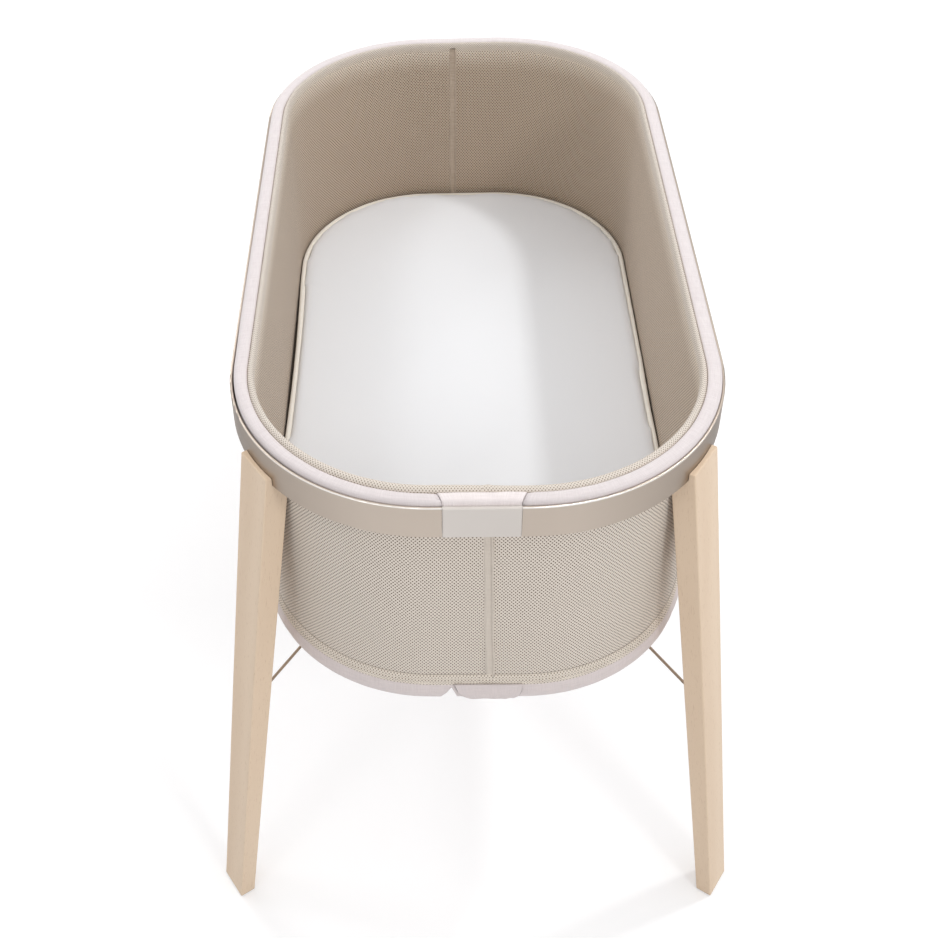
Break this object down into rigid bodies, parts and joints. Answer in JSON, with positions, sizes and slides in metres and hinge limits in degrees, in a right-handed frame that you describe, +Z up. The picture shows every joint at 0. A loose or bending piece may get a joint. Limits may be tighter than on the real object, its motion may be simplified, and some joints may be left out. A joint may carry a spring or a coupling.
{
  "type": "bassinet on stand",
  "caption": "Bassinet with a flat metal rail on splayed wooden legs, a mesh-walled textile basket, cross braces and a lift-out mattress.",
  "frame": {"origin": "on the floor under the centre of the stand", "axes": "+Z up, +Y towards the head end along the length, +X towards the right side seen from the foot end"},
  "size_m": [0.6522, 0.9424, 0.743],
  "materials": {
    "beech": "clear matt lacquer on light beech, straight grain along the leg",
    "anodised_rail": "champagne anodised, satin",
    "zinc_steel": "bright zinc plated",
    "grey_plastic": "fine matt moulding, warm grey",
    "rod_steel": "warm grey-brown powder coat",
    "rod_clip": "matt moulding, grey-brown",
    "felt_glide": "hard pad, grey-brown",
    "hoop_plastic": "flexible strip, natural",
    "rim_fabric": "plain weave, pale pinkish beige",
    "base_fabric": "plain weave, pale pinkish beige",
    "mesh": "spacer mesh with staggered holes, beige",
    "mesh_tape": "bound seam, beige",
    "board": "stiff hollow board, natural",
    "foam": "open cell foam, off-white",
    "mattress_knit": "fine white knit",
    "piping": "cream corded piping"
  },
  "bodies": {
    "stand": {"front_left_leg": "beech", "front_left_clamp_plate": "zinc_steel", "front_left_glide": "felt_glide", "front_right_leg": "beech", "front_right_clamp_plate": "zinc_steel", "front_right_glide": "felt_glide", "rear_left_leg": "beech", "rear_left_clamp_plate": "zinc_steel", "rear_left_glide": "felt_glide", "rear_right_leg": "beech", "rear_right_clamp_plate": "zinc_steel", "rear_right_glide": "felt_glide", "rail_left": "anodised_rail", "rail_right": "anodised_rail", "front_rail_joiner": "zinc_steel", "rear_rail_joiner": "zinc_steel", "front_joiner_cover": "grey_plastic", "rear_joiner_cover": "grey_plastic", "joiner_screws": "zinc_steel", "leg_bolts": "zinc_steel", "barrel_nuts": "zinc_steel", "brace_rod_a": "rod_steel", "brace_rod_b": "rod_steel", "rod_ferrules": "rod_steel", "brace_clip": "rod_clip", "rim_hoop_left": "hoop_plastic", "rim_hoop_right": "hoop_plastic", "rim_band": "rim_fabric", "front_rim_flap": "rim_fabric", "rim_roll": "mesh", "mesh_wall_left": "mesh", "mesh_wall_right": "mesh", "front_seam_tape": "mesh_tape", "rear_seam_tape": "mesh_tape", "base_hem": "mesh", "base_cover": "base_fabric", "base_flap": "base_fabric", "base_board": "board"},
    "mattress": {"mattress_foam": "foam", "mattress_cover": "mattress_knit", "mattress_base_sheet": "mattress_knit", "mattress_piping_top": "piping", "mattress_piping_bottom": "piping"}
  },
  "joints": [
    {"name": "mattress_lift", "type": "slide", "parent": "stand", "child": "mattress", "axis": [0, 0, 1], "range_m": [0, 0.32]}
  ]
}
